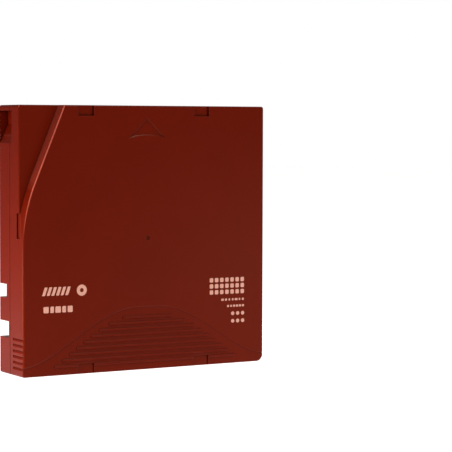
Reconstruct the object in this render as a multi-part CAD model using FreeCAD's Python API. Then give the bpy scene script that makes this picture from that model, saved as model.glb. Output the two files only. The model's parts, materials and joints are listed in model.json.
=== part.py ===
import FreeCAD, Part
import math
import os
from FreeCAD import Vector

# A half-inch data tape cartridge, standing on its trailing (label) face.
# X runs across the width, Y through the thickness from the arrow side (-Y) to the hub side (+Y),
# and Z up from the trailing face to the leading face. Millimetres and degrees.

# Case
case_width = 105.4
case_height = 102.0
case_thickness = 21.5
lower_depth = 9.8           # thickness of the lower shell, on the hub side
side_wall = 1.6
face_wall = 1.5
edge_radius = 0.8
corner_radius = 0.9
chip_corner_radius = 2.8    # the trailing corner that covers the memory board
tongue_height = 0.8
tongue_width = 0.7
fit_gap = 0.1               # between faces that fit together
parting_line_width = 0.4    # the line round the case where the shells meet
parting_line_depth = 0.3

# Reel space
reel_inset = 2.5            # from the reel's rim to the nearer outside of the case
reel_clearance = 1.0
pocket_rib = 1.2
pocket_rib_start = 20.0     # the ribs stop this far from the middle of each side

# Insertion guide: the step along the leading part of the left side
guide_depth = 3.4
guide_start = 48.0          # the guide wall leaves the left side here, in an arc
guide_arc = 64.2
guide_tilt = 22.9
guide_lean = 0.9            # how far the wall's foot stands out under its edge
guide_edge_radius = 0.9
guide_floor_radius = 0.5
guide_notch_base = 51.8     # from the trailing face
guide_notch_length = 9.7
guide_notch_depth = 0.5
guide_notch_start = 2.35    # from the arrow side
guide_notch_drop = 2.0      # below the guide floor

# Relief on the arrow side
stack_width = 6.7
stack_length = 4.0
stack_depth = 0.8
stack_left = 26.3           # from the middle to each recess
stack_right = 24.0
arrow_width = 16.0
arrow_length = 7.9
arrow_hollow = 1.0          # how far the arrow's base curves in
arrow_drop = 4.6            # from the leading face to the arrow's tip
arrow_depth = 0.4
arrow_slope = 0.5           # how far its sides lean in
gate_radius = 0.9
gate_depth = 0.3
bell_base = 3.8
bell_rise = 21.0
bell_flat = 4.0
bell_fullness = 0.82        # below 1 the curve is fuller than a cosine
bell_depth = 0.35
bell_slope = 0.55           # how far the curve's edge leans in
bell_spans = 16
ridge_count = 9
ridge_start = 3.35
ridge_pitch = 2.15
ridge_width = 1.1
ridge_top = 0.45
ridge_inset = 5.4           # the lowest ridge's ends stand this far inside the bell
ridge_inset_top = 3.5

# Finger grooves on the sides of the upper shell
groove_count = 6
groove_start = 3.0
groove_pitch = 2.17
groove_width = 1.1
groove_depth = 0.45
groove_end = 9.0            # from the arrow side

# Gripping notches through the long edges of the hub side
notch_depth = 4.3
notch_wall = 1.2
loader_notch_start = 13.9
loader_notch_length = 6.3
loader_notch_height = 8.7
drive_notch_start = 29.0
drive_notch_length = 5.25
drive_notch_height = 6.8

# Latch pocket in the left side, near the leading face
latch_top = 2.1             # from the leading face
latch_length = 12.3
latch_ramp = 7.2
latch_depth = 3.5
latch_height = 11.9
latch_wall = 1.3
latch_skin = 0.8            # left over the pocket on the hub side

# Screws: places are from the case's outer faces
screw_head_radius = 1.9
screw_head_height = 1.2
screw_radius = 1.1
screw_length = 11.0
screw_clearance = 0.2
screw_sink = 0.5            # the head lies this far under the hub side
drive_recess_radius = 0.7
drive_recess_depth = 0.7
boss_wall = 1.0
leading_left_screw = (16.4, 9.5)
leading_right_screw = (16.7, 6.5)
trailing_left_screw = (10.7, 9.2)
trailing_right_screw = (7.2, 8.6)

# Locating holes in the hub side
locating_radius = 2.0
locating_depth = 3.0
locating_wall = 1.1
locating_skin = 0.5
round_hole_place = (7.2, 22.0)
long_hole_place = (7.7, 24.0)
long_hole_stretch = 1.6

# Reel
hub_radius = 22.0
hub_wall = 2.0
flange_gap = 1.05           # from the lower shell's face to the lower flange
lower_flange = 1.2
flange_rim = 1.0
tape_space = 13.0
upper_flange = 1.2
weld_ring_height = 1.5
weld_ring_wall = 1.1
hub_floor = 2.0
clutch_radius = 17.1
clutch_width = 2.2
clutch_sink = 0.65          # the clutch teeth lie this far under the hub side
clutch_tooth = 0.8
clutch_teeth = 60
tooth_root = 1.25           # widths of a tooth, as shares of half the pitch
tooth_tip = 0.65
opening_clearance = 0.6
foot_width = 2.3
foot_clearance = 1.2
plate_thickness = 1.0
plate_hole_radius = 4.0
plate_gap = 0.4

# Tape
tape_width = 12.65
tape_rim_gap = 2.3            # from the flange's rim down to the outer turn
tape_end_thickness = 0.15
tape_end_gap = 0.25

# Brake
brake_teeth = 36
brake_tooth = 1.1
brake_tooth_width = 3.0
brake_rim_gap = 1.7
brake_plate = 1.8
brake_mesh_gap = 0.4
brake_boss_radius = 7.0
brake_boss_height = 4.7
brake_travel = 2.0
post_width = 10.0
post_rib = 2.0
post_gap = 0.3
spring_wire = 0.8
wire_sides = 8              # a spring's round wire is drawn with this many sides
spring_turns = 4

# Release pad
pad_thickness = 1.1
pad_gap = 0.1
pad_button_radius = 3.0
leg_radius = 1.5
leg_circle = 12.9
leg_hole_gap = 0.3
leg_count = 3
leg_sink = 2.15             # the legs' tips lie this far under the hub side

# Access door, in the right side near the leading face
door_opening_length = 15.0
door_opening_width = 15.2
door_opening_top = 3.5      # from the leading face
door_lap = 1.6
door_edge_lap = 0.8
door_thickness = 1.3
door_slot_width = 5.2
door_lug_length = 2.6
door_lug_rise = 1.4
door_block_length = 2.0
door_block_width = 3.6
rail_width = 1.0
rail_gap = 0.3
rail_lap = 0.4              # how far a rail stands over the door's edge
door_spring_radius = 1.3
door_spring_wire = 0.4
door_spring_turns = 9
door_spring_length = 28.0
spring_stop_length = 1.8
spring_rib = 0.7
spring_rib_length = 9.0

# Leader pin: its place is from the right side and the leading face
pin_inset = 7.2
pin_drop = 11.0
pin_radius = 1.2
pin_head_radius = 2.3
pin_head = 0.7
pin_end_gap = 0.5
pin_cup_wall = 1.0
pin_cup_gap = 0.3
pin_cup_height = 1.25
clip_thickness = 0.9
clip_mouth = 70.0
pin_spring_strip = 0.3
pin_spring_base = 5.0
pin_spring_tail = 5.5

# Write-protect slide, in the trailing face near the left side
window_start = 6.2          # from the left side
window_length = 10.0
window_height = 5.7
slide_thumb_length = 5.2
slide_thumb_sink = 0.5
slide_travel = 4.5
slide_lap = 1.6
slide_thickness = 1.2
slide_grooves = 3
slide_groove_pitch = 1.3
slide_groove = 0.5

# Memory board, laid across the trailing corner of the lower shell
board_length = 11.0
board_width = 8.5
board_thickness = 0.8
board_inset = 11.2          # from the right side
cradle_size = 6.6
cradle_rib = 1.2
chip_size = 3.0
chip_thickness = 0.5
antenna_inset = 0.7         # from the board's edges
antenna_width = 1.1
antenna_thickness = 0.1

# Label recess in the trailing face
label_depth = 0.4
label_width = 78.0
label_height = 16.6
label_inset = 6.7           # from the right side

# Places that follow
right = case_width / 2
left = -right
arrow_side = -case_thickness / 2
hub_side = case_thickness / 2
parting = hub_side - lower_depth
axis_z = case_height / 2
inner_right = right - side_wall
inner_left = -inner_right
inner_arrow = arrow_side + face_wall
inner_hub = hub_side - face_wall
inner_bottom = side_wall
inner_top = case_height - side_wall
guide_floor = arrow_side + guide_depth
flange_radius = min(case_width, case_height) / 2 - reel_inset
pocket_radius = flange_radius + reel_clearance
beyond = 4 * side_wall      # how far a cut runs past the face that it opens
sharp_corners = 2           # an offset outline keeps its corners

flange_outer = inner_hub - flange_gap
flange_inner = flange_outer - lower_flange
tape_top = flange_inner - tape_space
floor_outer = flange_inner
floor_inner = floor_outer - hub_floor
hub_bore = hub_radius - hub_wall
clutch_face = hub_side - clutch_sink - clutch_tooth
clutch_inner = clutch_radius - clutch_width
opening_radius = clutch_radius + opening_clearance
brake_rim = hub_bore - brake_rim_gap
brake_tooth_inner = brake_rim - brake_tooth_width
brake_face = floor_inner - brake_tooth - brake_mesh_gap
brake_back = brake_face - brake_plate
tape_radius = flange_radius - tape_rim_gap
tape_low = tape_top + (tape_space - tape_width) / 2
tape_high = tape_low + tape_width

pin_x = right - pin_inset
pin_z = case_height - pin_drop
opening_top = case_height - door_opening_top
opening_bottom = opening_top - door_opening_length
door_top = opening_top + door_lap
door_bottom = opening_bottom - door_edge_lap
door_travel = door_opening_length + door_lap
door_outer = inner_right - fit_gap
door_inner = door_outer - door_thickness
door_half = door_opening_width / 2 + door_edge_lap
block_bottom = door_bottom - door_block_length
spring_bottom = block_bottom - door_spring_length
spring_x = inner_right - fit_gap - door_spring_radius - door_spring_wire
window_left = left + window_start
thumb_left = window_left + fit_gap


def block(x, y, z):
    """A box between pairs of limits, given in either order."""
    corner = Vector(min(x), min(y), min(z))
    return Part.makeBox(abs(x[1] - x[0]), abs(y[1] - y[0]), abs(z[1] - z[0]), corner)


def drum(radius, y, x=0.0, z=None):
    """A cylinder along Y, on the reel's axis unless told otherwise."""
    centre = Vector(x, min(y), axis_z if z is None else z)
    return Part.makeCylinder(radius, abs(y[1] - y[0]), centre, Vector(0, 1, 0))


def tube(outer, inner, y, x=0.0, z=None):
    return drum(outer, y, x, z).cut(drum(inner, y, x, z))


def slab(edges, y):
    """A flat outline in XZ, given as edges, made solid between two depths."""
    face = Part.Face(Part.Wire(Part.__sortEdges__(edges)))
    return face.extrude(Vector(0, y[1] - y[0], 0))


def outline(points):
    """Straight edges round a list of (x, z) points."""
    corners = [Vector(x, 0, z) for x, z in points]
    return [Part.makeLine(a, b) for a, b in zip(corners, corners[1:] + corners[:1])]


def prism(points, y):
    solid = slab(outline(points), y)
    solid.translate(Vector(0, y[0], 0))
    return solid


def funnel(rim, floor, depth):
    """A shallow cut with sloping walls, from a rim to a floor outline drawn in the same plane."""
    floor = floor.translated(Vector(0, depth, 0))
    return Part.makeLoft([rim, floor], True)


def turned(points):
    """A solid of revolution about the reel's axis, from (radius, depth) points."""
    corners = [Vector(r, y, axis_z) for r, y in points]
    profile = Part.makePolygon(corners + corners[:1])
    return Part.Face(profile).revolve(Vector(0, 0, axis_z), Vector(0, 1, 0), 360)


def rounded(solid, radius, chosen):
    """Rounds the edges that the test chooses."""
    return solid.makeFillet(radius, [edge for edge in solid.Edges if chosen(edge)])


def lies_at(edge, axis, value):
    box = edge.BoundBox
    low, high = getattr(box, axis + "Min"), getattr(box, axis + "Max")
    return abs(low - value) < 1e-4 and abs(high - value) < 1e-4


def mirrored(solid):
    return solid.mirror(Vector(0, 0, 0), Vector(1, 0, 0))


def joined(solids):
    return solids[0].multiFuse(solids[1:]).removeSplitter()


def case_plan(inset, y):
    """The case's rounded outline, drawn in by an inset, between two depths."""
    x = (left + inset, right - inset)
    z = (inset, case_height - inset)
    solid = block(x, y, z)

    def chip_corner(edge):
        return lies_at(edge, "X", x[1]) and lies_at(edge, "Z", z[0])

    def other_corner(edge):
        upright = lies_at(edge, "X", x[0]) or lies_at(edge, "X", x[1])
        return upright and (lies_at(edge, "Z", z[0]) or lies_at(edge, "Z", z[1]))

    solid = rounded(solid, max(chip_corner_radius - inset, edge_radius), chip_corner)
    if inset < corner_radius:
        solid = rounded(solid, corner_radius - inset, other_corner)
    return solid


def guide_region(inset, y):
    """What the insertion guide takes away: an arc out of the left side and its slanted tangent."""
    radius = guide_arc - inset
    tilt = math.radians(guide_tilt)

    def on_arc(angle):
        along, rise = radius * math.cos(angle), radius * math.sin(angle)
        return Vector(left + guide_arc - along, y[0], guide_start + rise)

    start, middle, tangent = on_arc(0), on_arc(tilt / 2), on_arc(tilt)
    reach = (case_height + beyond - tangent.z) / math.cos(tilt)
    top = tangent + Vector(math.sin(tilt), 0, math.cos(tilt)) * reach
    outside = left - beyond
    corner_top = Vector(outside, y[0], top.z)
    corner_low = Vector(outside, y[0], guide_start)
    arc = Part.Arc(start, middle, tangent).toShape()
    lines = [(tangent, top), (top, corner_top), (corner_top, corner_low), (corner_low, start)]
    return slab([arc] + [Part.makeLine(a, b) for a, b in lines], y)


def guide_slope():
    """The sloping foot of the guide wall: a cone round its arc and a wedge along its slant."""
    y = (arrow_side + guide_edge_radius, guide_floor)
    down = Vector(0, y[1] - y[0], 0)
    tilt = math.radians(guide_tilt)
    outwards = Vector(-math.cos(tilt), 0, math.sin(tilt))
    upwards = Vector(math.sin(tilt), 0, math.cos(tilt))
    centre = Vector(left + guide_arc, y[0], guide_start)
    cone = Part.makeCone(guide_arc, guide_arc + guide_lean, down.Length, centre, down)
    edge = centre + outwards * guide_arc
    section = Part.makePolygon([edge, edge + down, edge + down + outwards * guide_lean, edge])
    wedge = Part.Face(section).extrude(upwards * case_height)
    return cone.fuse(wedge).common(case_plan(0, y))


def guide_notch():
    y = (arrow_side + guide_notch_start, guide_floor + guide_notch_drop)
    z = (guide_notch_base, guide_notch_base + guide_notch_length)
    return block((left - beyond, left + guide_notch_depth), y, z)


def parting_line():
    """The shallow line round the case where the shells meet."""
    y = (parting - parting_line_width / 2, parting + parting_line_width / 2)
    return case_plan(-fit_gap, y).cut(case_plan(parting_line_depth, y))


def upper_body():
    """The upper shell's outside: a low part over the whole plan and a high part right of the guide."""
    low = case_plan(0, (guide_floor, parting))
    low = rounded(low, guide_floor_radius, lambda edge: lies_at(edge, "Y", guide_floor))
    high = case_plan(0, (arrow_side, guide_floor + guide_floor_radius))
    high = high.cut(guide_region(0, (arrow_side, parting)))
    high = rounded(high, guide_edge_radius, lambda edge: lies_at(edge, "Y", arrow_side))
    return joined([low, high, guide_slope()]).cut(guide_notch())


def cavity(y):
    return case_plan(side_wall, y)


def bell_height(x):
    """The bell curve that bounds the finger grip, as a height over the trailing face."""
    share = max(abs(x) - bell_flat, 0) / (right - bell_flat)
    return bell_base + bell_rise * ((1 + math.cos(math.pi * share)) / 2) ** bell_fullness


def bell_half_width(z):
    """Half the bell's width at a height."""
    level = min(max((z - bell_base) / bell_rise, 0), 1) ** (1 / bell_fullness)
    return bell_flat + (right - bell_flat) * math.acos(2 * level - 1) / math.pi


def grip_outline(drop):
    """The bell curve, lowered by the drop, closed below the trailing face."""
    xs = [left + case_width * i / bell_spans for i in range(bell_spans + 1)]
    curve = Part.BSplineCurve()
    curve.interpolate([Vector(x, arrow_side, bell_height(x) - drop) for x in xs])
    last = bell_height(right) - drop
    ends = [Vector(right, arrow_side, last), Vector(right, arrow_side, -beyond),
            Vector(left, arrow_side, -beyond), Vector(left, arrow_side, last)]
    return Part.Wire([curve.toShape()] + [Part.makeLine(a, b) for a, b in zip(ends, ends[1:])])


def grip_recess():
    """The shallow bell-shaped field round the ridges, with a sloping edge."""
    return funnel(grip_outline(0), grip_outline(bell_slope), bell_depth)


def grip_ridge(index):
    """One ridge across the grip, with sloping sides."""
    z = ridge_start + index * ridge_pitch
    inset = ridge_inset + (ridge_inset_top - ridge_inset) * index / (ridge_count - 1)
    half = bell_half_width(z + inset)
    floor = arrow_side + bell_depth
    foot, top = ridge_width / 2, ridge_top / 2
    profile = [(floor + fit_gap, z - foot), (floor + fit_gap, z + foot), (floor, z + foot),
               (arrow_side, z + top), (arrow_side, z - top), (floor, z - foot)]
    corners = [Vector(-half, y, height) for y, height in profile]
    face = Part.Face(Part.makePolygon(corners + corners[:1]))
    return face.extrude(Vector(2 * half, 0, 0))


def grooves():
    """Finger grooves in the left side of the upper shell: steep above, sloping below."""
    cuts = []
    for index in range(groove_count):
        z = groove_start + index * groove_pitch
        low, high = z - groove_width / 2, z + groove_width / 2
        points = [(left - fit_gap, low), (left, low), (left + groove_depth, high), (left - fit_gap, high)]
        cuts.append(prism(points, (arrow_side - beyond, arrow_side + groove_end)))
    return cuts


def stacking_recesses():
    """Four shallow recesses, open at the leading and trailing faces, that take the next case's pads."""
    y = (arrow_side - beyond, arrow_side + stack_depth)
    cuts = []
    for middle in (-stack_left, stack_right):
        x = (middle - stack_width / 2, middle + stack_width / 2)
        cuts.append(block(x, y, (-beyond, stack_length)))
        cuts.append(block(x, y, (case_height - stack_length, case_height + beyond)))
    return cuts


def direction_arrow():
    """The sunk arrowhead that points to the leading face, with sloping sides."""
    tip = Vector(0, arrow_side, case_height - arrow_drop)
    foot_z = tip.z - arrow_length
    feet = [Vector(x, arrow_side, foot_z) for x in (-arrow_width / 2, arrow_width / 2)]
    hollow = Vector(0, arrow_side, foot_z + arrow_hollow)
    base = Part.Arc(feet[0], hollow, feet[1]).toShape()
    rim = Part.Wire([base, Part.makeLine(feet[1], tip), Part.makeLine(tip, feet[0])])
    return funnel(rim, rim.makeOffset2D(-arrow_slope, sharp_corners), arrow_depth)


def screw_places():
    x1, z1 = leading_left_screw
    x2, z2 = leading_right_screw
    x3, z3 = trailing_left_screw
    x4, z4 = trailing_right_screw
    return [(left + x1, case_height - z1), (right - x2, case_height - z2),
            (left + x3, z3), (right - x4, z4)]


def pocket_ribs(y):
    """Ribs round the reel in the corners, all but the one that the tape leaves by."""
    ring = tube(pocket_radius + pocket_rib, pocket_radius, y)
    far = (pocket_rib_start, right)
    below = (inner_bottom - fit_gap, axis_z - pocket_rib_start)
    above = (axis_z + pocket_rib_start, inner_top + fit_gap)
    corners = [block((-far[0], -far[1]), y, below), block(far, y, below),
               block((-far[0], -far[1]), y, above)]
    return [ring.common(corner) for corner in corners]


def door_cut(y):
    """The door's opening in the right side and the slot for the drive's finger, between two depths."""
    x = (inner_right - fit_gap, right + beyond)
    half = door_opening_width / 2
    opening = block(x, (max(y[0], -half), min(y[1], half)), (opening_bottom, opening_top))
    half_slot = door_slot_width / 2
    slot_low = door_top - door_lug_length - door_travel - fit_gap
    slot = block(x, (max(y[0], -half_slot), min(y[1], half_slot)), (slot_low, case_height + beyond))
    return opening.fuse(slot)


def door_rail(inner, side):
    """A rail that keeps the door against the side wall. side is -1 on the arrow face, 1 on the hub face."""
    x = (door_inner - rail_gap - rail_width, door_inner - rail_gap)
    y = (inner, side * (door_half - rail_lap))
    z = (door_bottom - door_travel - door_lap, inner_top + fit_gap)
    return block(x, y, z)


def pin_cup(inner, side):
    """The open cup that the leader pin's head rests in."""
    y = (inner, inner - side * pin_cup_height)
    inside = pin_head_radius + pin_cup_gap
    ring = tube(inside + pin_cup_wall, inside, y, pin_x, pin_z)
    mouth = block((pin_x, right), y, (pin_z - inside - pin_cup_wall, pin_z + inside + pin_cup_wall))
    return ring.cut(mouth)


def brake_post():
    """The cross that keeps the brake from turning."""
    tip = brake_back - brake_boss_height + brake_travel
    y = (inner_arrow - fit_gap, tip)
    half, rib = post_width / 2, post_rib / 2
    across = block((-half, half), y, (axis_z - rib, axis_z + rib))
    upright = block((-rib, rib), y, (axis_z - half, axis_z + half))
    return across.fuse(upright)


def spring_stop():
    """The block on the right wall that holds the door spring's fixed end, and the rib beside it."""
    reach = spring_x - door_spring_radius - door_spring_wire / 2
    half = door_block_width / 2
    z = (spring_bottom - spring_stop_length, spring_bottom)
    stop = block((reach, inner_right - fit_gap), (-half, half), z)
    root = block((reach, right - edge_radius), (-half, parting - tongue_height - fit_gap), z)
    rib = block((spring_x, right - edge_radius), (-half - spring_rib, -half),
                (spring_bottom - fit_gap, spring_bottom + spring_rib_length))
    return [stop, root, rib]


def window_cut():
    """The write-protect slide's window in the trailing wall, open to the parting face."""
    x = (window_left, window_left + window_length)
    return block(x, (parting - window_height, parting + beyond), (-beyond, inner_bottom + fit_gap))


def label_recess(y):
    x = (right - label_inset - label_width, right - label_inset)
    half = label_height / 2
    return block(x, (max(y[0], -half), min(y[1], half)), (-beyond, label_depth))


def upper_shell():
    """The arrow-side half of the case."""
    shell = upper_body()
    inside = cavity((inner_arrow, parting + beyond))
    inside = inside.cut(guide_region(side_wall, (arrow_side, guide_floor + guide_notch_drop + face_wall)))
    shell = shell.cut(inside)
    ribs = []
    depth = (inner_arrow - fit_gap, parting - fit_gap)
    for x, z in screw_places():
        ribs.append(drum(screw_radius + screw_clearance + boss_wall, depth, x, z))
    ribs += pocket_ribs(depth)
    ribs += [brake_post(), door_rail(inner_arrow - fit_gap, -1), pin_cup(inner_arrow - fit_gap, -1)]
    ribs += spring_stop()
    shell = joined([shell] + ribs)
    cuts = [drum(screw_radius + fit_gap / 2, (inner_arrow + fit_gap, parting), x, z)
            for x, z in screw_places()]
    cuts.append(tongue(fit_gap))
    cuts.append(door_cut((arrow_side, parting)))
    cuts.append(window_cut())
    cuts.append(label_recess((arrow_side, parting)))
    cuts.append(latch_cut((hub_side - latch_height, parting)))
    cuts.append(parting_line())
    cuts.append(drum(gate_radius, (arrow_side, arrow_side + gate_depth)))
    cuts.append(direction_arrow())
    cuts.append(grip_recess())
    cuts += grooves() + [mirrored(cut) for cut in grooves()]
    shell = shell.cut(Part.makeCompound(cuts))
    shell = joined([shell] + [grip_ridge(index) for index in range(ridge_count)])
    return shell.cut(Part.makeCompound(stacking_recesses()))


def tongue(gap):
    """The lower shell's raised rim inside the wall; with a gap, the rebate that takes it."""
    y = (parting - tongue_height - gap, parting + gap)
    outside = case_plan(side_wall - tongue_width - gap, y)
    return outside.cut(case_plan(side_wall + gap, y))


def latch_cut(y):
    """The latch pocket: deep near the leading face, with a ramp out of it."""
    top = case_height - latch_top
    bottom = top - latch_length
    deep = left + latch_depth
    points = [(left - fit_gap, bottom), (left, bottom), (deep, bottom + latch_ramp), (deep, top),
              (left - fit_gap, top)]
    return prism(points, y)


def latch_housing():
    top = case_height - latch_top + latch_wall
    bottom = case_height - latch_top - latch_length - latch_wall
    y = (hub_side - latch_height - latch_wall, inner_hub + fit_gap)
    return block((inner_left + fit_gap, left + latch_depth + latch_wall), y,
                 (bottom, min(top, inner_top - fit_gap)))


def notch_limits(start, length, height, wall):
    """The limits of a notch in the left edge, grown by a wall to make its housing."""
    edge = left - beyond if wall == 0 else inner_left + fit_gap
    x = (edge, left + notch_depth + wall)
    far = hub_side + beyond if wall == 0 else inner_hub + fit_gap
    y = (hub_side - height - wall, far)
    return block(x, y, (start - wall, start + length + wall))


def notches(wall):
    """The loader's and the drive's notches, on both sides."""
    pair = [notch_limits(loader_notch_start, loader_notch_length, loader_notch_height, wall),
            notch_limits(drive_notch_start, drive_notch_length, drive_notch_height, wall)]
    return pair + [mirrored(one) for one in pair]


def locating_places():
    x1, z1 = round_hole_place
    x2, z2 = long_hole_place
    return (left + x1, case_height - z1), (right - x2, case_height - z2)


def locating_hole(x, z, radius, stretch, y):
    """A locating hole or its boss; a stretch makes it oblong across the case."""
    if stretch == 0:
        return drum(radius, y, x, z)
    ends = [drum(radius, y, x + side * stretch / 2, z) for side in (-1, 1)]
    middle = block((x - stretch / 2, x + stretch / 2), y, (z - radius, z + radius))
    return joined(ends + [middle])


def board_cradle():
    """Two gussets across the trailing corner that carry the memory board."""
    ribs = []
    low, near = inner_bottom - fit_gap, inner_hub + fit_gap
    size = cradle_size + fit_gap
    first = right - board_inset - board_length
    for x in (first - cradle_rib / 2, first + board_length - cradle_rib / 2):
        corners = [Vector(x, near, low), Vector(x, near, low + size), Vector(x, near - size, low)]
        face = Part.Face(Part.makePolygon(corners + corners[:1]))
        ribs.append(face.extrude(Vector(cradle_rib, 0, 0)))
    return ribs


def lower_shell():
    """The hub-side half of the case."""
    shell = case_plan(0, (parting, hub_side))
    shell = rounded(shell, edge_radius, lambda edge: lies_at(edge, "Y", hub_side))
    shell = shell.cut(cavity((parting - beyond, inner_hub)))
    depth = (parting, inner_hub + fit_gap)
    ribs = [tongue(0), latch_housing(), door_rail(inner_hub + fit_gap, 1), pin_cup(inner_hub + fit_gap, 1)]
    ribs += notches(notch_wall) + pocket_ribs(depth) + board_cradle()
    for x, z in screw_places():
        ribs.append(drum(screw_head_radius + screw_clearance + boss_wall, depth, x, z))
    round_place, long_place = locating_places()
    boss_depth = (hub_side - locating_depth - locating_skin, inner_hub + fit_gap)
    boss_radius = locating_radius + locating_wall
    ribs.append(locating_hole(*round_place, boss_radius, 0, boss_depth))
    ribs.append(locating_hole(*long_place, boss_radius, long_hole_stretch, boss_depth))
    shell = joined([shell] + ribs)
    hole_depth = (hub_side - locating_depth, hub_side + beyond)
    cuts = [drum(opening_radius, (inner_hub - beyond, hub_side + beyond)),
            drum(flange_radius + reel_clearance / 2, (parting, inner_hub)),
            latch_cut((parting - tongue_height - fit_gap, hub_side - latch_skin)),
            parting_line(),
            door_cut((parting - tongue_height - fit_gap, hub_side)),
            window_cut().common(block((left, right), (arrow_side, parting), (-beyond, beyond))),
            label_recess((parting, hub_side)),
            locating_hole(*round_place, locating_radius, 0, hole_depth),
            locating_hole(*long_place, locating_radius, long_hole_stretch, hole_depth)]
    cuts += notches(0)
    for x, z in screw_places():
        head = hub_side - screw_sink - screw_head_height
        cuts.append(drum(screw_head_radius + screw_clearance, (head, hub_side + beyond), x, z))
        cuts.append(drum(screw_radius + screw_clearance, (parting - beyond, hub_side), x, z))
    return shell.cut(Part.makeCompound(cuts))


def case_screws():
    """Four screws with sunk hexagonal drives."""
    head = hub_side - screw_sink
    seat = head - screw_head_height
    screws = []
    for x, z in screw_places():
        screw = drum(screw_head_radius, (seat, head), x, z)
        screw = screw.fuse(drum(screw_radius, (seat - screw_length, seat), x, z))
        points = []
        for corner in range(6):
            angle = math.radians(60 * corner)
            points.append((x + drive_recess_radius * math.cos(angle),
                           z + drive_recess_radius * math.sin(angle)))
        screws.append(screw.cut(prism(points, (head - drive_recess_depth, head))))
    return Part.makeCompound(screws)


def teeth(count, inner, outer, root, tip):
    """A ring of tapered teeth on the reel's axis, from a root depth to a tip depth."""
    pitch = 2 * math.pi / count
    shapes = []

    def corner(radius, angle, y):
        return Vector(radius * math.cos(angle), y, axis_z + radius * math.sin(angle))

    def section(middle, half, y):
        corners = [corner(inner, middle - half, y), corner(outer, middle - half, y),
                   corner(outer, middle + half, y), corner(inner, middle + half, y)]
        return Part.makePolygon(corners + corners[:1])

    for index in range(count):
        middle = index * pitch
        sections = [section(middle, pitch / 4 * tooth_root, root),
                    section(middle, pitch / 4 * tooth_tip, tip)]
        shapes.append(Part.makeLoft(sections, True, True))
    return shapes


def leg_places():
    places = []
    for index in range(leg_count):
        angle = 2 * math.pi * index / leg_count + math.pi / 2
        places.append((leg_circle * math.cos(angle), axis_z + leg_circle * math.sin(angle)))
    return places


def reel_hub():
    """The hub and lower flange, one moulding, with the clutch teeth outside and the brake teeth inside."""
    foot = opening_radius + foot_clearance
    foot_face = inner_hub - fit_gap
    plate_post = plate_hole_radius - fit_gap
    hub = turned([(0, floor_inner), (hub_bore, floor_inner), (hub_bore, tape_top),
                  (hub_radius, tape_top), (hub_radius, flange_inner), (flange_radius, flange_inner),
                  (flange_radius, flange_inner + flange_rim), (foot + foot_width, flange_outer),
                  (foot + foot_width, foot_face), (foot, foot_face), (foot, flange_outer),
                  (clutch_radius, flange_outer), (clutch_radius, clutch_face),
                  (clutch_inner, clutch_face), (clutch_inner, floor_outer),
                  (plate_post, floor_outer), (plate_post, floor_outer + plate_thickness),
                  (0, floor_outer + plate_thickness)])
    tip = clutch_face + clutch_tooth
    clutch = teeth(clutch_teeth, clutch_inner, clutch_radius, clutch_face, tip)
    brake = teeth(brake_teeth, brake_tooth_inner, brake_rim, floor_inner, floor_inner - brake_tooth)
    hub = hub.multiFuse(clutch + brake)
    holes = [drum(leg_radius + leg_hole_gap, (floor_inner - fit_gap, floor_outer + fit_gap), x, z)
             for x, z in leg_places()]
    return hub.cut(Part.makeCompound(holes))


def upper_flange_disc():
    """The upper flange, with the ring that is welded into the hub."""
    ring_outer = hub_bore - fit_gap
    ring_inner = ring_outer - weld_ring_wall
    back = tape_top - upper_flange
    return turned([(ring_inner, back), (flange_radius, tape_top - flange_rim),
                   (flange_radius, tape_top), (ring_outer, tape_top),
                   (ring_outer, tape_top + weld_ring_height), (ring_inner, tape_top + weld_ring_height)])


def reel_plate():
    """The steel plate that the drive's magnet holds."""
    outer = leg_circle - leg_radius - plate_gap
    return tube(outer, plate_hole_radius, (floor_outer, floor_outer + plate_thickness))


def tape_pack():
    return tube(tape_radius, hub_radius, (tape_low, tape_high))


def tape_end():
    """The free end of the tape, from the outer turn to the clip on the leader pin."""
    reach = math.hypot(pin_x, pin_z - axis_z)
    radius = tape_radius + tape_end_gap
    angle = math.atan2(pin_z - axis_z, pin_x) - math.acos(radius / reach)
    start = Vector(radius * math.cos(angle), tape_low, axis_z + radius * math.sin(angle))
    along = Vector(-math.sin(angle), 0, math.cos(angle))
    outward = Vector(math.cos(angle), 0, math.sin(angle))
    length = math.sqrt(reach ** 2 - radius ** 2) - pin_radius - clip_thickness - fit_gap
    corners = [start, start + along * length, start + along * length + outward * tape_end_thickness,
               start + outward * tape_end_thickness]
    face = Part.Face(Part.makePolygon(corners + corners[:1]))
    return face.extrude(Vector(0, tape_width, 0))


def leader_pin():
    """The steel pin at the tape's end, with a head at each end."""
    low, high = inner_arrow + pin_end_gap, inner_hub - pin_end_gap
    shaft = drum(pin_radius, (low, high), pin_x, pin_z)
    heads = [drum(pin_head_radius, (low, low + pin_head), pin_x, pin_z),
             drum(pin_head_radius, (high - pin_head, high), pin_x, pin_z)]
    return joined([shaft] + heads)


def tape_clip():
    """The snap-on clip that holds the tape to the leader pin."""
    y = (tape_low, tape_high)
    inner = pin_radius + fit_gap / 2
    outer = pin_radius + clip_thickness
    clip = tube(outer, inner, y, pin_x, pin_z)
    half = math.radians(clip_mouth / 2)
    reach = 2 * outer
    points = [(pin_x, pin_z), (pin_x - reach * math.cos(half), pin_z + reach * math.sin(half)),
              (pin_x - reach * math.cos(half), pin_z - reach * math.sin(half))]
    return clip.cut(prism(points, y))


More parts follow.
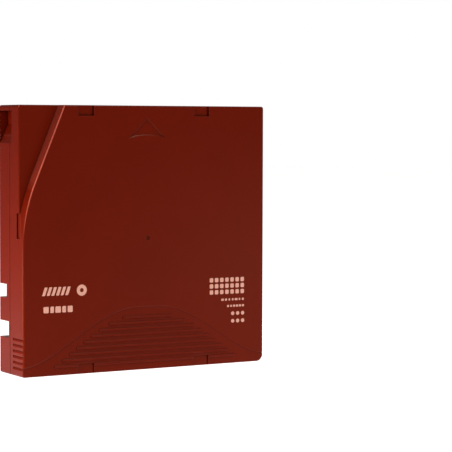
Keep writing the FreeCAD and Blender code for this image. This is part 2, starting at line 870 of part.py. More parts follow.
def pin_spring():
    """The bent strip whose two arms keep the pin's heads in their cups."""
    strip = pin_spring_strip
    near = pin_x + pin_head_radius + fit_gap
    top = inner_top - fit_gap
    base = block((near - pin_spring_base, near + strip), (inner_arrow + pin_end_gap, inner_hub - pin_end_gap),
                 (top - strip, top))
    parts = [base]
    toe = pin_z - pin_spring_tail
    for low in (inner_arrow + pin_end_gap, inner_hub - pin_end_gap - pin_head):
        run = block((near, near + strip), (low, low + pin_head), (toe, top))
        bend = block((near - 2 * strip, near + strip), (low, low + pin_head), (toe, toe + strip))
        parts += [run, bend]
    return joined(parts)


def brake_button():
    """The toothed brake, with a cross-shaped socket for the post."""
    back = brake_back - brake_boss_height
    body = drum(brake_rim, (brake_back, brake_face)).fuse(drum(brake_boss_radius, (back, brake_back)))
    ring = teeth(brake_teeth, brake_tooth_inner, brake_rim, brake_face, brake_face + brake_tooth)
    pitch = 180.0 / brake_teeth
    for tooth in ring:
        tooth.rotate(Vector(0, 0, axis_z), Vector(0, 1, 0), pitch)
    body = body.multiFuse(ring)
    y = (back, brake_back + post_gap)
    half, rib = post_width / 2 + post_gap, post_rib / 2 + post_gap
    across = block((-half, half), y, (axis_z - rib, axis_z + rib))
    upright = block((-rib, rib), y, (axis_z - half, axis_z + half))
    return body.cut(across.fuse(upright))


def coil(radius, wire, turns, length):
    """A spring along +Z from the origin, between its end turns' centres."""
    path = Part.makeHelix(length / turns, length, radius)
    corners = []
    for side in range(wire_sides):
        angle = 2 * math.pi * side / wire_sides
        corners.append(Vector(radius + wire / 2 * math.cos(angle), 0, wire / 2 * math.sin(angle)))
    ring = Part.makePolygon(corners + corners[:1])
    return Part.Wire(path).makePipeShell([ring], True, True)


def brake_spring():
    """The coil that pushes the brake into the hub."""
    radius = brake_boss_radius + spring_wire
    low, high = inner_arrow + spring_wire / 2, brake_back - spring_wire / 2
    spring = coil(radius, spring_wire, spring_turns, high - low)
    spring.rotate(Vector(0, 0, 0), Vector(1, 0, 0), -90)
    spring.translate(Vector(0, low, axis_z))
    return spring


def release_pad():
    """The three-legged pad that lifts the brake when a drive presses its legs."""
    low = floor_inner - pad_gap - pad_thickness
    high = floor_inner - pad_gap
    arms = [drum(pad_button_radius, (brake_face + pad_gap, high))]
    for index, (x, z) in enumerate(leg_places()):
        arms.append(drum(leg_radius, (low, hub_side - leg_sink), x, z))
        arm = block((0, leg_circle), (low, high), (axis_z - leg_radius, axis_z + leg_radius))
        arm.rotate(Vector(0, 0, axis_z), Vector(0, 1, 0), -360.0 * index / leg_count - 90)
        arms.append(arm)
    return joined(arms)


def access_door():
    """The sliding door over the tape's way out."""
    plate = block((door_inner, door_outer), (-door_half, door_half), (door_bottom, door_top))
    half_lug = door_slot_width / 2 - fit_gap * 2
    lug = block((door_inner, door_outer + door_lug_rise), (-half_lug, half_lug),
                (door_top - door_lug_length, door_top))
    half = door_block_width / 2
    foot = block((spring_x - door_spring_radius, door_outer), (-half, half),
                 (block_bottom, door_bottom + door_block_length))
    return joined([plate, lug, foot])


def door_spring():
    """The coil that holds the door shut."""
    half = door_spring_wire / 2
    spring = coil(door_spring_radius, door_spring_wire, door_spring_turns, door_spring_length - 2 * half)
    spring.translate(Vector(spring_x, 0, spring_bottom + half))
    return spring


def write_protect_slide():
    """The write-protect slide: a plate behind the wall and a thumb piece in its window."""
    y = (parting - window_height + fit_gap, parting - fit_gap)
    back = inner_bottom + fit_gap
    plate = block((thumb_left - slide_lap, thumb_left + slide_thumb_length + slide_lap), y,
                  (back, back + slide_thickness))
    thumb = block((thumb_left, thumb_left + slide_thumb_length), y, (slide_thumb_sink, back))
    slide = plate.fuse(thumb).removeSplitter()
    middle = thumb_left + slide_thumb_length / 2
    cuts = []
    for index in range(slide_grooves):
        x = middle + (index - (slide_grooves - 1) / 2) * slide_groove_pitch
        cuts.append(block((x - slide_groove / 2, x + slide_groove / 2), y,
                          (slide_thumb_sink, slide_thumb_sink + slide_groove)))
    return slide.cut(Part.makeCompound(cuts))


def on_cradle(solid):
    """Lays a solid modelled flat at the origin on the gussets' slope."""
    solid.rotate(Vector(0, 0, 0), Vector(1, 0, 0), 45)
    middle = cradle_size / 2
    solid.translate(Vector(right - board_inset - board_length / 2, inner_hub - middle, inner_bottom + middle))
    return solid


def memory_board():
    lift = fit_gap
    return on_cradle(block((-board_length / 2, board_length / 2), (-board_width / 2, board_width / 2),
                           (lift, lift + board_thickness)))


def memory_chip():
    low = fit_gap + board_thickness
    return on_cradle(block((-chip_size / 2, chip_size / 2), (-chip_size / 2, chip_size / 2),
                           (low, low + chip_thickness)))


def memory_antenna():
    """The flat copper loop round the chip."""
    low = fit_gap + board_thickness
    z = (low, low + antenna_thickness)
    across, along = board_length / 2 - antenna_inset, board_width / 2 - antenna_inset
    outside = block((-across, across), (-along, along), z)
    across, along = across - antenna_width, along - antenna_width
    return on_cradle(outside.cut(block((-across, across), (-along, along), z)))


pieces = {
    "upper_shell": upper_shell,
    "lower_shell": lower_shell,
    "case_screws": case_screws,
    "reel_hub": reel_hub,
    "upper_flange": upper_flange_disc,
    "reel_plate": reel_plate,
    "tape_pack": tape_pack,
    "tape_end": tape_end,
    "leader_pin": leader_pin,
    "tape_clip": tape_clip,
    "pin_spring": pin_spring,
    "brake_button": brake_button,
    "brake_spring": brake_spring,
    "release_pad": release_pad,
    "access_door": access_door,
    "door_spring": door_spring,
    "write_protect_slide": write_protect_slide,
    "memory_board": memory_board,
    "memory_chip": memory_chip,
    "memory_antenna": memory_antenna,
}

os.makedirs("parts", exist_ok=True)
for name, make in pieces.items():
    shape = make()
    shape.exportStep(f"parts/{name}.step")
    box = shape.BoundBox
    print(name, len(shape.Solids), shape.isValid(), round(shape.Volume, 1),
          round(box.XLength, 2), round(box.YLength, 2), round(box.ZLength, 2))
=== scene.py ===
import json
import math

import bmesh
import bpy
from mathutils import Matrix, Vector


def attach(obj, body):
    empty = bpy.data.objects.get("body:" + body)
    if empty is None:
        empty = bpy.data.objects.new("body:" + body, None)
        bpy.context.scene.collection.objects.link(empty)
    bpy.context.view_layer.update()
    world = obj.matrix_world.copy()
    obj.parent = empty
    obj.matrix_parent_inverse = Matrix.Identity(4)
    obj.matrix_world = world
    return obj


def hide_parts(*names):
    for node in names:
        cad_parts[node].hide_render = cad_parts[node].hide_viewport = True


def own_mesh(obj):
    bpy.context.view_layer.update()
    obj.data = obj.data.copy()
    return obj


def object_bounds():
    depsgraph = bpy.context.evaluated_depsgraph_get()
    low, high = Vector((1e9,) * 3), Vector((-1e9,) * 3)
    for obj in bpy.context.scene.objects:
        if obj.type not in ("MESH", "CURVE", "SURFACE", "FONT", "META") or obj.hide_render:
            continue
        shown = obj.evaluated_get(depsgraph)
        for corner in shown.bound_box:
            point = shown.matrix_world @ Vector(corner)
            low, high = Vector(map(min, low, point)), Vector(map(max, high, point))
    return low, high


mm = 0.001
mergeGap = 0.001 * mm         # points closer than this are one

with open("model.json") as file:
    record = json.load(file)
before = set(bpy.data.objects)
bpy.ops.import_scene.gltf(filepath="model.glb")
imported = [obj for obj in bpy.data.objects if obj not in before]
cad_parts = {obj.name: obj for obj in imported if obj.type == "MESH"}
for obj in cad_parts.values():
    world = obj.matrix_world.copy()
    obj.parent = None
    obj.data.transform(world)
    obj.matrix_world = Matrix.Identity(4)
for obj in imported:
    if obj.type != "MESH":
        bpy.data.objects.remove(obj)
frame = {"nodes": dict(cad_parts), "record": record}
nodes = frame["nodes"]
slotOf = {part["node"]: part["material_slot"] for part in frame["record"]["subparts"]}
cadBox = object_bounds()
caseLow, caseHigh = [Vector(corner) for corner in cadBox]
print("frame loaded:", len(nodes), "nodes")


cameraView = {
    "turn": -30.73,           # degrees round the cartridge from its arrow side
    "rise": 3.06,
    "roll": 0.14,
    "distance": 724.0 * mm,
    "sideways": 35.77 * mm,   # the cartridge stands left of the middle
    "upwards": 4.11 * mm,
    "lens": 147.39,
    "sensorWidth": 36.0,
}

studio = {
    "floorSize": 6.0,
    "floorColor": (0.8, 0.8, 0.8),
    "floorRoughness": 0.8,
    "backTurn": -31.0,        # degrees round to the white card, which stands behind the cartridge
    "wedgeStart": (-0.34, -0.64, 0.0),   # the bright wedge of floor opens from here
    "cardEdge": 0.94,         # cosines of the angles at which card and wedge begin and are full
    "cardFull": 0.985,
    "backGlow": 1.08,         # the floor towards the card
    "frontGlow": 0.03,        # the floor on the other side
    "cardColor": (1.0, 1.0, 1.0),
    "roomColor": (0.15, 0.145, 0.14),
    "lights": {
        # name: (place, size, power, colour)
        "sidePanel": ((-1.0, -0.45, 0.75), 0.4, 3.9, (1.0, 0.93, 0.88)),
        "keyPanel": ((0.14, -0.24, 0.70), 0.22, 2.6, (1.0, 0.93, 0.86)),
        "rightPanel": ((0.20, -0.22, 0.0), 0.1, 0.17, (1.0, 0.92, 0.86)),
        "lowPanel": ((-0.15, 0.0, 0.01), 0.05, 0.23, (1.0, 0.9, 0.8)),
    },
}


def cameraAxes(view):
    turn, rise, roll = [math.radians(view[key]) for key in ("turn", "rise", "roll")]
    level = Vector((math.sin(turn), -math.cos(turn), 0))
    back = level * math.cos(rise) + Vector((0, 0, math.sin(rise)))
    right = Vector((0, 0, 1)).cross(back).normalized()
    up = back.cross(right)
    lean = Matrix.Rotation(roll, 3, back)
    return lean @ right, lean @ up, back


def addCamera(view):
    camera = bpy.data.objects.new("camera", bpy.data.cameras.new("camera"))
    bpy.context.collection.objects.link(camera)
    camera.data.lens = view["lens"]
    camera.data.sensor_width = view["sensorWidth"]
    right, up, back = cameraAxes(view)
    middle = Vector((0, 0, (caseLow.z + caseHigh.z) / 2))
    place = middle + right * view["sideways"] + up * view["upwards"] + back * view["distance"]
    turned = Matrix((right, up, back)).transposed().to_4x4()
    camera.matrix_world = Matrix.Translation(place) @ turned
    bpy.context.scene.camera = camera


def aimedAt(place, target):
    return (target - place).to_track_quat("-Z", "Y").to_matrix().to_4x4()


def addLights(values):
    target = (caseLow + caseHigh) / 2
    for name, (place, size, power, color) in values["lights"].items():
        lamp = bpy.data.lights.new(name, "AREA")
        lamp.shape = "SQUARE"
        lamp.size = size
        lamp.energy = power
        lamp.color = color
        panel = bpy.data.objects.new(name, lamp)
        bpy.context.collection.objects.link(panel)
        panel.matrix_world = Matrix.Translation(place) @ aimedAt(Vector(place), target)
        panel.visible_camera = False


def addTowardsCard(tree, coordinates, origin, values):
    # 1 in the directions of the white card as seen from a fixed origin, 0 elsewhere
    turn = math.radians(values["backTurn"])
    offset = tree.nodes.new("ShaderNodeVectorMath")
    offset.operation = "SUBTRACT"
    offset.inputs[1].default_value = origin
    tree.links.new(tree.nodes.new("ShaderNodeTexCoord").outputs[coordinates], offset.inputs[0])
    direction = tree.nodes.new("ShaderNodeVectorMath")
    direction.operation = "NORMALIZE"
    tree.links.new(offset.outputs["Vector"], direction.inputs[0])
    along = tree.nodes.new("ShaderNodeVectorMath")
    along.operation = "DOT_PRODUCT"
    along.inputs[1].default_value = (-math.sin(turn), math.cos(turn), 0)
    tree.links.new(direction.outputs["Vector"], along.inputs[0])
    step = tree.nodes.new("ShaderNodeMapRange")
    step.interpolation_type = "SMOOTHSTEP"
    step.inputs["From Min"].default_value = values["cardEdge"]
    step.inputs["From Max"].default_value = values["cardFull"]
    tree.links.new(along.outputs["Value"], step.inputs["Value"])
    return step


def addWorld(values):
    world = bpy.data.worlds.new("studio")
    world.use_nodes = True
    tree = world.node_tree
    step = addTowardsCard(tree, "Generated", (0, 0, 0), values)
    blend = tree.nodes.new("ShaderNodeMix")
    blend.data_type = "RGBA"
    blend.inputs["A"].default_value = (*values["roomColor"], 1)
    blend.inputs["B"].default_value = (*values["cardColor"], 1)
    tree.links.new(step.outputs["Result"], blend.inputs["Factor"])
    tree.links.new(blend.outputs["Result"], tree.nodes["Background"].inputs["Color"])
    bpy.context.scene.world = world


def paperMaterial(values):
    paper = bpy.data.materials.new("floorPaper")
    paper.use_nodes = True
    tree = paper.node_tree
    shader = tree.nodes["Principled BSDF"]
    color = (*values["floorColor"], 1)
    shader.inputs["Base Color"].default_value = color
    shader.inputs["Emission Color"].default_value = color
    shader.inputs["Roughness"].default_value = values["floorRoughness"]
    back = addTowardsCard(tree, "Object", values["wedgeStart"], values)
    back.inputs["To Min"].default_value = values["frontGlow"]
    back.inputs["To Max"].default_value = values["backGlow"]
    tree.links.new(back.outputs["Result"], shader.inputs["Emission Strength"])
    return paper


def addFloor(values):
    half = values["floorSize"] / 2
    mesh = bpy.data.meshes.new("floor")
    turns = ((-1, -1), (1, -1), (1, 1), (-1, 1))
    mesh.from_pydata([(x * half, y * half, caseLow.z) for x, y in turns], [], [(0, 1, 2, 3)])
    floor = bpy.data.objects.new("floor", mesh)
    bpy.context.collection.objects.link(floor)
    floor.data.materials.append(paperMaterial(values))


bpy.context.scene.view_settings.view_transform = "Standard"
addCamera(cameraView)
addLights(studio)
addWorld(studio)
addFloor(studio)
print("camera, lights and floor in place")


moulding = {
    "cloudScale": 35.0,       # slow flow clouds, per metre
    "cloudDetail": 3.0,
    "cloud": 0.12,            # how much the clouds change the colour
    "glossSpread": 0.1,       # and the gloss
    "grainScale": 4000.0,     # spark-eroded grain, per metre
    "grainDetail": 2.0,
    "grainShade": 0.12,
    "grainDepth": 0.004 * mm,
    "roughness": 0.45,
}

brushing = {
    "stretch": (200, 200, 6000),   # scratches per metre along each axis
    "detail": 3.0,
    "shade": 0.25,            # how much the scratches change the colour
    "glossSpread": 0.25,
    "depth": 0.002 * mm,
    "roughness": 0.3,
}


def newGroup(name, inputs):
    # a shader group that puts out colour, roughness and height
    group = bpy.data.node_groups.new(name, "ShaderNodeTree")
    for socketName, kind, value in inputs:
        socket = group.interface.new_socket(name=socketName, in_out="INPUT", socket_type=kind)
        if value is not None:
            socket.default_value = value
    for socketName, kind in (("Color", "Color"), ("Roughness", "Float"), ("Height", "Float")):
        group.interface.new_socket(name=socketName, in_out="OUTPUT", socket_type="NodeSocket" + kind)
    start = group.nodes.new("NodeGroupInput")
    end = group.nodes.new("NodeGroupOutput")
    return group, start, end


def addNoise(tree, vector, detail, scale=1.0):
    noise = tree.nodes.new("ShaderNodeTexNoise")
    noise.inputs["Scale"].default_value = scale
    noise.inputs["Detail"].default_value = detail
    tree.links.new(vector, noise.inputs["Vector"])
    return noise


def addMath(tree, operation, first, second=None, third=None):
    node = tree.nodes.new("ShaderNodeMath")
    node.operation = operation
    for socket, value in zip(node.inputs, (first, second, third)):
        if value is None:
            continue
        if isinstance(value, (int, float)):
            socket.default_value = value
        else:
            tree.links.new(value, socket)
    return node.outputs[0]


def aroundZero(tree, noise):
    return addMath(tree, "SUBTRACT", noise.outputs["Fac"], 0.5)


def shadedColor(group, color, factor):
    shade = group.nodes.new("ShaderNodeVectorMath")
    shade.operation = "SCALE"
    group.links.new(color, shade.inputs[0])
    group.links.new(factor, shade.inputs["Scale"])
    return shade.outputs[0]


def mouldedGroup(values):
    # fine spark-eroded grain, slow flow clouds in the colour, a little change in gloss
    group, start, end = newGroup("mouldedSkin", [
        ("Color", "NodeSocketColor", None),
        ("Cloud", "NodeSocketFloat", values["cloud"]),
        ("Grain Scale", "NodeSocketFloat", values["grainScale"]),
        ("Gloss Spread", "NodeSocketFloat", values["glossSpread"]),
        ("Roughness", "NodeSocketFloat", values["roughness"]),
    ])
    links = group.links
    place = group.nodes.new("ShaderNodeTexCoord").outputs["Object"]
    cloud = addNoise(group, place, values["cloudDetail"], values["cloudScale"])
    grain = addNoise(group, place, values["grainDetail"])
    links.new(start.outputs["Grain Scale"], grain.inputs["Scale"])
    shift = aroundZero(group, cloud)
    lift = addMath(group, "MULTIPLY_ADD", shift, start.outputs["Cloud"], 1.0)
    speckLift = addMath(group, "MULTIPLY_ADD", aroundZero(group, grain), values["grainShade"], lift)
    links.new(shadedColor(group, start.outputs["Color"], speckLift), end.inputs["Color"])
    spread = addMath(group, "MULTIPLY_ADD", shift, start.outputs["Gloss Spread"], start.outputs["Roughness"])
    links.new(spread, end.inputs["Roughness"])
    links.new(grain.outputs["Fac"], end.inputs["Height"])
    return group


def brushedGroup(values):
    # fine scratches along one axis
    group, start, end = newGroup("brushedMetal", [
        ("Color", "NodeSocketColor", None),
        ("Stretch", "NodeSocketVector", None),
        ("Roughness", "NodeSocketFloat", values["roughness"]),
    ])
    links = group.links
    stretch = group.nodes.new("ShaderNodeVectorMath")
    stretch.operation = "MULTIPLY"
    links.new(group.nodes.new("ShaderNodeTexCoord").outputs["Object"], stretch.inputs[0])
    links.new(start.outputs["Stretch"], stretch.inputs[1])
    scratch = addNoise(group, stretch.outputs[0], values["detail"])
    shift = aroundZero(group, scratch)
    lift = addMath(group, "MULTIPLY_ADD", shift, values["shade"], 1.0)
    links.new(shadedColor(group, start.outputs["Color"], lift), end.inputs["Color"])
    spread = addMath(group, "MULTIPLY_ADD", shift, values["glossSpread"], start.outputs["Roughness"])
    links.new(spread, end.inputs["Roughness"])
    links.new(scratch.outputs["Fac"], end.inputs["Height"])
    return group


mouldedSkin = mouldedGroup(moulding)
brushedMetal = brushedGroup(brushing)


def groupMaterial(name, group, inputs, bumpDepth, plain):
    # one material round a shared group; plain holds what is the same all over the surface
    material = bpy.data.materials.new(name)
    material.use_nodes = True
    tree = material.node_tree
    shader = tree.nodes["Principled BSDF"]
    skin = tree.nodes.new("ShaderNodeGroup")
    skin.node_tree = group
    for key, value in inputs.items():
        skin.inputs[key].default_value = value
    tree.links.new(skin.outputs["Color"], shader.inputs["Base Color"])
    tree.links.new(skin.outputs["Roughness"], shader.inputs["Roughness"])
    bump = tree.nodes.new("ShaderNodeBump")
    bump.inputs["Strength"].default_value = 1.0
    bump.inputs["Distance"].default_value = bumpDepth
    tree.links.new(skin.outputs["Height"], bump.inputs["Height"])
    tree.links.new(bump.outputs["Normal"], shader.inputs["Normal"])
    for key, value in plain.items():
        shader.inputs[key].default_value = value
    return material


def plastic(name, color, roughness=moulding["roughness"], cloud=moulding["cloud"],
            depth=moulding["grainDepth"], **plain):
    inputs = {"Color": (*color, 1), "Cloud": cloud, "Roughness": roughness}
    return groupMaterial(name, mouldedSkin, inputs, depth, plain)


def metal(name, color, roughness, stretch=brushing["stretch"]):
    inputs = {"Color": (*color, 1), "Stretch": stretch, "Roughness": roughness}
    return groupMaterial(name, brushedMetal, inputs, brushing["depth"], {"Metallic": 1.0})


caseSurface = {
    "color": (0.120, 0.0050, 0.0003),
    "roughness": 0.42,
    "cloud": 0.2,
    "shine": 0.13,
    "shineTint": (1.0, 0.6, 0.4, 1.0),
}


# painted highlight: a lighter line laid into the colour along outer edges
paintedEdgeHighlight = {
    "reach": 0.45 * mm,       # how wide the painted highlight along an outer edge is
    "color": (0.35, 0.06, 0.04),
    "strength": 0.15,
    "start": 0.93,            # how open the solid behind the surface is where the line begins
    "full": 0.55,
    "samples": 24,
}

# painted shade: a darker colour laid into creases and recesses
paintedCreaseShade = {
    "reach": 0.8 * mm,        # how far from a crease the painted shade reaches
    "color": (0.045, 0.0025, 0.0006),
    "strength": 0.8,
    "start": 0.99,            # how open the space in front is where the painted shade begins
    "full": 0.7,
    "samples": 24,
}

paintedGuideHighlight = {
    # painted highlight: surfaces that face this way, chiefly the rounded edge of the guide step, get a
    # lighter colour
    "facing": (-0.60, -0.65, 0.47),
    "start": 0.9,
    "full": 0.97,
    "color": (0.52, 0.11, 0.075),
    "strength": 0.85,
}


def blendColor(material, mask, color):
    # the mask lays a colour over what the material shows so far
    tree = material.node_tree
    shader = tree.nodes["Principled BSDF"]
    blend = tree.nodes.new("ShaderNodeMix")
    blend.data_type = "RGBA"
    blend.inputs["B"].default_value = (*color, 1)
    tree.links.new(mask, blend.inputs["Factor"])
    tree.links.new(shader.inputs["Base Color"].links[0].from_socket, blend.inputs["A"])
    tree.links.new(blend.outputs["Result"], shader.inputs["Base Color"])


def rampMask(tree, value, values):
    mask = tree.nodes.new("ShaderNodeMapRange")
    mask.inputs["From Min"].default_value = values["start"]
    mask.inputs["From Max"].default_value = values["full"]
    mask.inputs["To Max"].default_value = values["strength"]
    tree.links.new(value, mask.inputs["Value"])
    return mask.outputs["Result"]


def opennessMask(tree, values, inside):
    openness = tree.nodes.new("ShaderNodeAmbientOcclusion")
    openness.inside = inside
    openness.only_local = True
    openness.samples = values["samples"]
    openness.inputs["Distance"].default_value = values["reach"]
    return rampMask(tree, openness.outputs["AO"], values)


def caseMaterial(values, edgeHighlight, creaseShade, guideHighlight):
    # painted highlight along the outer edges of the moulding, painted shade in its creases, painted
    # highlight on the rounded guide edge
    material = plastic("caseShell", values["color"], values["roughness"], values["cloud"],
                       **{"Specular IOR Level": values["shine"], "Specular Tint": values["shineTint"]})
    tree = material.node_tree
    # painted highlight along the outer edges
    blendColor(material, opennessMask(tree, edgeHighlight, True), edgeHighlight["color"])
    # painted shade in the creases
    blendColor(material, opennessMask(tree, creaseShade, False), creaseShade["color"])
    # painted highlight where the surface faces the side light, on the rounded guide edge
    facing = tree.nodes.new("ShaderNodeVectorMath")
    facing.operation = "DOT_PRODUCT"
    facing.inputs[1].default_value = Vector(guideHighlight["facing"]).normalized()
    tree.links.new(tree.nodes.new("ShaderNodeTexCoord").outputs["Normal"], facing.inputs[0])
    blendColor(material, rampMask(tree, facing.outputs["Value"], guideHighlight), guideHighlight["color"])
    return material


finishes = {
    "case_shell": caseMaterial(caseSurface, paintedEdgeHighlight, paintedCreaseShade, paintedGuideHighlight),
    "screw_steel": metal("screwSteel", (0.30, 0.30, 0.31), 0.35),
    "hub_plastic": plastic("hubPlastic", (0.62, 0.62, 0.60)),
    "flange_plastic": plastic("flangePlastic", (0.45, 0.46, 0.48), 0.2),
    "plate_steel": metal("plateSteel", (0.62, 0.62, 0.63), 0.28, (3000, 300, 300)),
    "tape_film": plastic("tapeFilm", (0.03, 0.024, 0.02), 0.15),
    "pin_steel": metal("pinSteel", (0.72, 0.72, 0.73), 0.18),
    "clip_plastic": plastic("clipPlastic", (0.05, 0.05, 0.055)),
    "spring_steel": metal("springSteel", (0.55, 0.55, 0.56), 0.25),
    "brake_plastic": plastic("brakePlastic", (0.78, 0.77, 0.72)),
    "pad_plastic": plastic("padPlastic", (0.82, 0.81, 0.77)),
    "door_plastic": plastic("doorPlastic", (0.03, 0.03, 0.033), 0.4),
    "slide_plastic": plastic("slidePlastic", (0.42, 0.42, 0.41), 0.4),
    "board_laminate": plastic("boardLaminate", (0.02, 0.12, 0.05), 0.3),
    "chip_resin": plastic("chipResin", (0.015, 0.015, 0.015), 0.35),
    "antenna_copper": metal("antennaCopper", (0.72, 0.33, 0.17), 0.3),
}

for name, slotName in slotOf.items():
    for holder in nodes[name].material_slots:
        holder.material = finishes[slotName]
print("materials on", len(slotOf), "nodes")


springs = {
    # the joint that presses each coil, and the axis it shortens along, away from its fixed end
    "door_spring": {"joint": "door_slide", "axis": (0, 0, 1)},
    "brake_spring": {"joint": "brake_lift", "axis": (0, 1, 0)},
}


def addSpring(nodeName):
    # a copy of the coil, its points merged and its faces smooth, hung on the case
    coil = bpy.data.objects.new(nodeName + "Coil", nodes[nodeName].data.copy())
    bpy.context.collection.objects.link(coil)
    shape = bmesh.new()
    shape.from_mesh(coil.data)
    bmesh.ops.remove_doubles(shape, verts=shape.verts, dist=mergeGap)
    shape.to_mesh(coil.data)
    shape.free()
    for face in coil.data.polygons:
        face.use_smooth = True
    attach(coil, "case")
    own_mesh(coil)
    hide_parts(nodeName)
    coil.data.materials.clear()
    coil.data.materials.append(finishes[slotOf[nodeName]])


for name, values in springs.items():
    addSpring(name)
print("springs that shorten:", len(springs))


# print on the arrow side: fields of small marks that say nothing, all sizes in mm
ink = {
    "color": (0.68, 0.33, 0.25),
    "roughness": 0.55,
    "cloud": 0.05,
    "grainDepth": 0.001,
    "thickness": 0.02,
    "corner": 0.2,
    "cornerSteps": 3,
}

printFields = {
    # each is a grid of marks: its middle (across, up) and size, marks across and up, the size of one
    # mark, its corner radius, its lean, and how much the marks' widths vary
    "badgeField": {"middle": (35.7, 31.0), "size": (14.2, 4.8), "count": (7, 3),
                   "mark": (1.6, 1.7), "corner": 0.4},
    "codeRow": {"middle": (-38.2, 25.1), "size": (10.0, 0.0), "count": (5, 1),
                "mark": (1.9, 2.4), "corner": 0.35, "spread": 0.3, "seed": 4},
    "slantRow": {"middle": (-38.9, 32.0), "size": (9.6, 0.0), "count": (6, 1),
                 "mark": (1.2, 3.2), "lean": 0.35},
    "upperNote": {"middle": (38.4, 25.5), "size": (9.4, 0.0), "count": (7, 1),
                  "mark": (1.0, 0.85), "spread": 0.35, "seed": 7},
    "lowerNote": {"middle": (39.7, 22.9), "size": (6.9, 0.0), "count": (6, 1),
                  "mark": (0.85, 0.85), "spread": 0.35, "seed": 11},
    "smallField": {"middle": (40.7, 18.4), "size": (4.6, 3.0), "count": (3, 2),
                   "mark": (1.5, 1.5), "corner": 0.7},
}

discMark = {
    "middle": (-28.3, 32.0),
    "radius": 2.1,
    "hole": 0.8,
    "steps": 48,
}

printInk = plastic("printInk", ink["color"], ink["roughness"], ink["cloud"], ink["grainDepth"] * mm)


def fieldTree():
    tree = bpy.data.node_groups.new("printField", "GeometryNodeTree")
    for name, kind in (("Field Width", "Float"), ("Field Height", "Float"), ("Columns", "Int"),
                       ("Rows", "Int"), ("Mark Width", "Float"), ("Mark Height", "Float"),
                       ("Corner", "Float"), ("Corner Steps", "Int"), ("Lean", "Float"),
                       ("Thickness", "Float"), ("Spread", "Float"), ("Seed", "Int"),
                       ("Middle", "Vector"), ("Ink", "Material")):
        tree.interface.new_socket(name=name, in_out="INPUT", socket_type="NodeSocket" + kind)
    tree.interface.new_socket(name="Geometry", in_out="OUTPUT", socket_type="NodeSocketGeometry")
    inputs = tree.nodes.new("NodeGroupInput").outputs

    def add(kind, fixed=None, **sockets):
        # fixed holds the node's own settings; a socket takes a link or a plain value
        node = tree.nodes.new(kind)
        for key, value in (fixed or {}).items():
            setattr(node, key, value)
        for key, source in sockets.items():
            socket = node.inputs[key.replace("_", " ")]
            if isinstance(source, bpy.types.NodeSocket):
                tree.links.new(source, socket)
            else:
                socket.default_value = source
        return node

    # one mark: a rounded tile that leans by its height, closed below
    outline = add("GeometryNodeCurvePrimitiveQuadrilateral", Width=inputs["Mark Width"],
                  Height=inputs["Mark Height"])
    soft = add("GeometryNodeFilletCurve", {"mode": "POLY"}, Curve=outline.outputs["Curve"],
               Radius=inputs["Corner"], Count=inputs["Corner Steps"])
    tile = add("GeometryNodeFillCurve", {"mode": "NGONS"}, Curve=soft.outputs["Curve"])
    position = add("GeometryNodeInputPosition").outputs["Position"]
    height = add("ShaderNodeSeparateXYZ", Vector=position).outputs["Y"]
    lean = add("ShaderNodeMath", {"operation": "MULTIPLY"})
    tree.links.new(height, lean.inputs[0])
    tree.links.new(inputs["Lean"], lean.inputs[1])
    shift = add("ShaderNodeCombineXYZ", X=lean.outputs[0])
    leaning = add("GeometryNodeSetPosition", Geometry=tile.outputs["Mesh"], Offset=shift.outputs["Vector"])
    raised = add("GeometryNodeExtrudeMesh", Mesh=leaning.outputs["Geometry"],
                 Offset_Scale=inputs["Thickness"], Individual=False)
    under = add("GeometryNodeFlipFaces", Mesh=leaning.outputs["Geometry"])
    both = add("GeometryNodeJoinGeometry")
    for half in (raised, under):
        tree.links.new(half.outputs["Mesh"], both.inputs["Geometry"])
    mark = add("GeometryNodeMergeByDistance", Geometry=both.outputs["Geometry"], Distance=mergeGap)

    # the marks on the grid's points, each a little wider or narrower
    grid = add("GeometryNodeMeshGrid", Size_X=inputs["Field Width"], Size_Y=inputs["Field Height"],
               Vertices_X=inputs["Columns"], Vertices_Y=inputs["Rows"])
    narrow = add("ShaderNodeMath", {"operation": "SUBTRACT"})
    wide = add("ShaderNodeMath", {"operation": "ADD"})
    for bound in (narrow, wide):
        bound.inputs[0].default_value = 1.0
        tree.links.new(inputs["Spread"], bound.inputs[1])
    # inputs 2 and 3 and output 1 are the random value's float sockets
    width = add("FunctionNodeRandomValue", {"data_type": "FLOAT"}, Seed=inputs["Seed"])
    tree.links.new(narrow.outputs[0], width.inputs[2])
    tree.links.new(wide.outputs[0], width.inputs[3])
    size = add("ShaderNodeCombineXYZ", X=width.outputs[1], Y=1.0, Z=1.0)
    marks = add("GeometryNodeInstanceOnPoints", Points=grid.outputs["Mesh"],
                Instance=mark.outputs["Geometry"], Scale=size.outputs["Vector"])
    real = add("GeometryNodeRealizeInstances", Geometry=marks.outputs["Instances"])
    placed = add("GeometryNodeTransform", Geometry=real.outputs["Geometry"], Translation=inputs["Middle"],
                 Rotation=(math.pi / 2, 0, 0))
    inked = add("GeometryNodeSetMaterial", Geometry=placed.outputs["Geometry"], Material=inputs["Ink"])
    add("NodeGroupOutput", Geometry=inked.outputs["Geometry"])
    return tree


def onArrowSide(across, up):
    return Vector((across * mm, caseLow.y, up * mm))


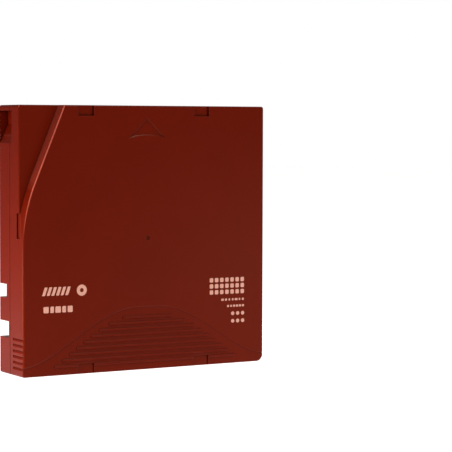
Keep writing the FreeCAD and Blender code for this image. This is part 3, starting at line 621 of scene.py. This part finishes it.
def printField(name, values, tree):
    # the tree's result as a plain mesh, on the case
    width, height = values["size"]
    columns, rows = values["count"]
    markWidth, markHeight = values["mark"]
    settings = {
        "Field Width": width * mm, "Field Height": height * mm,
        "Columns": columns, "Rows": rows,
        "Mark Width": markWidth * mm, "Mark Height": markHeight * mm,
        "Corner": values.get("corner", ink["corner"]) * mm, "Corner Steps": ink["cornerSteps"],
        "Lean": values.get("lean", 0.0), "Thickness": ink["thickness"] * mm,
        "Spread": values.get("spread", 0.0), "Seed": values.get("seed", 0),
        "Middle": onArrowSide(*values["middle"]), "Ink": printInk,
    }
    carrier = bpy.data.objects.new(name + "Carrier", bpy.data.meshes.new(name + "Carrier"))
    bpy.context.collection.objects.link(carrier)
    modifier = carrier.modifiers.new("field", "NODES")
    modifier.node_group = tree
    for item in tree.interface.items_tree:
        if item.in_out == "INPUT":
            modifier[item.identifier] = settings[item.name]
    shown = carrier.evaluated_get(bpy.context.evaluated_depsgraph_get())
    mesh = bpy.data.meshes.new_from_object(shown)
    mesh.name = name
    field = bpy.data.objects.new(name, mesh)
    bpy.context.collection.objects.link(field)
    carrier.modifiers.clear()
    bpy.data.objects.remove(carrier)
    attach(field, "case")


def printDisc(values, thickness):
    # a flat ring of ink
    shape = bmesh.new()
    rings = []
    middle = onArrowSide(*values["middle"])
    section = [(values["hole"], 0), (values["radius"], 0),
               (values["radius"], thickness), (values["hole"], thickness)]
    for radius, lift in section:
        ring = []
        for step in range(values["steps"]):
            angle = 2 * math.pi * step / values["steps"]
            spot = Vector((math.cos(angle) * radius, -lift, math.sin(angle) * radius))
            ring.append(shape.verts.new(middle + spot * mm))
        rings.append(ring)
    for first, second in zip(rings, rings[1:] + rings[:1]):
        for step in range(values["steps"]):
            after = (step + 1) % values["steps"]
            shape.faces.new((first[step], first[after], second[after], second[step]))
    bmesh.ops.recalc_face_normals(shape, faces=shape.faces)
    mesh = bpy.data.meshes.new("discMark")
    shape.to_mesh(mesh)
    shape.free()
    mesh.materials.append(printInk)
    disc = bpy.data.objects.new("discMark", mesh)
    bpy.context.collection.objects.link(disc)
    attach(disc, "case")


markTree = fieldTree()
for name, values in printFields.items():
    printField(name, values, markTree)
printDisc(discMark, ink["thickness"])
print("print marks on the arrow side:", len(printFields) + 1)
